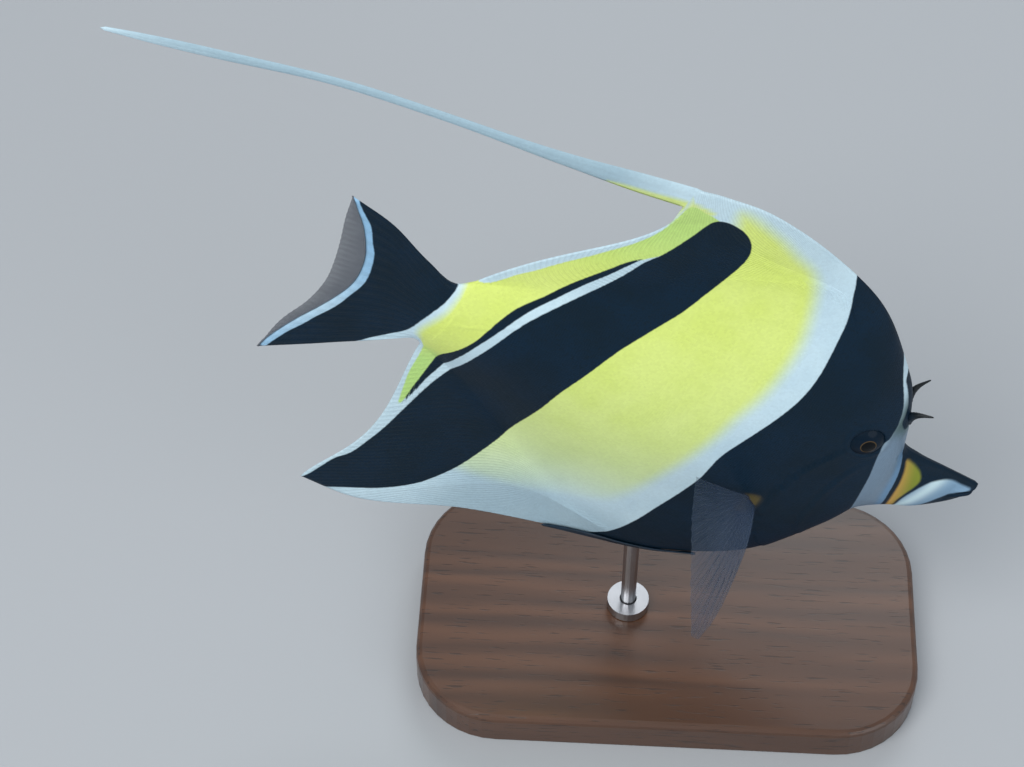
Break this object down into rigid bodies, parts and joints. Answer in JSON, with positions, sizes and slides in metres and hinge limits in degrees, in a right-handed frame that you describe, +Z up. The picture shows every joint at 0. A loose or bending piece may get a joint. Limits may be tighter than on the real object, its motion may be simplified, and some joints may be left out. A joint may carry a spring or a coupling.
{
  "type": "moorish idol fish model on a display stand",
  "caption": "Life-size still model of a moorish idol fish, nose down, with a long dorsal streamer, held by a rod on a flat wooden base.",
  "frame": {"origin": "middle of the underside of the stand's base", "axes": "+Z up; the fish faces +X and is pitched nose-down; +Y is the fish's left"},
  "size_m": [0.1985, 0.0948, 0.2136],
  "materials": {
    "flesh": "satin painted skin with lemon, white and black bands",
    "fin": "thin translucent fin",
    "streamer": "satin white filament",
    "eye": "wet gloss",
    "horn": "dark satin bone",
    "stand_wood": "dark oiled walnut",
    "stand_metal": "brushed"
  },
  "bodies": {
    "root": {"upper_jaw": "flesh", "lower_jaw": "flesh", "snout": "flesh", "head": "flesh", "trunk": "flesh", "tail_peduncle": "flesh", "dorsal_fin": "flesh", "anal_fin": "flesh", "caudal_fin": "flesh", "dorsal_streamer_root": "streamer", "dorsal_streamer_middle": "streamer", "dorsal_streamer_tip": "streamer", "pectoral_fin_right": "fin", "pectoral_fin_left": "fin", "pelvic_fin_right": "flesh", "pelvic_fin_left": "flesh", "eye_right": "eye", "eye_left": "eye", "horn_right": "horn", "horn_left": "horn", "stand_base": "stand_wood", "stand_rod": "stand_metal", "stand_collar": "stand_metal"}
  },
  "joints": []
}
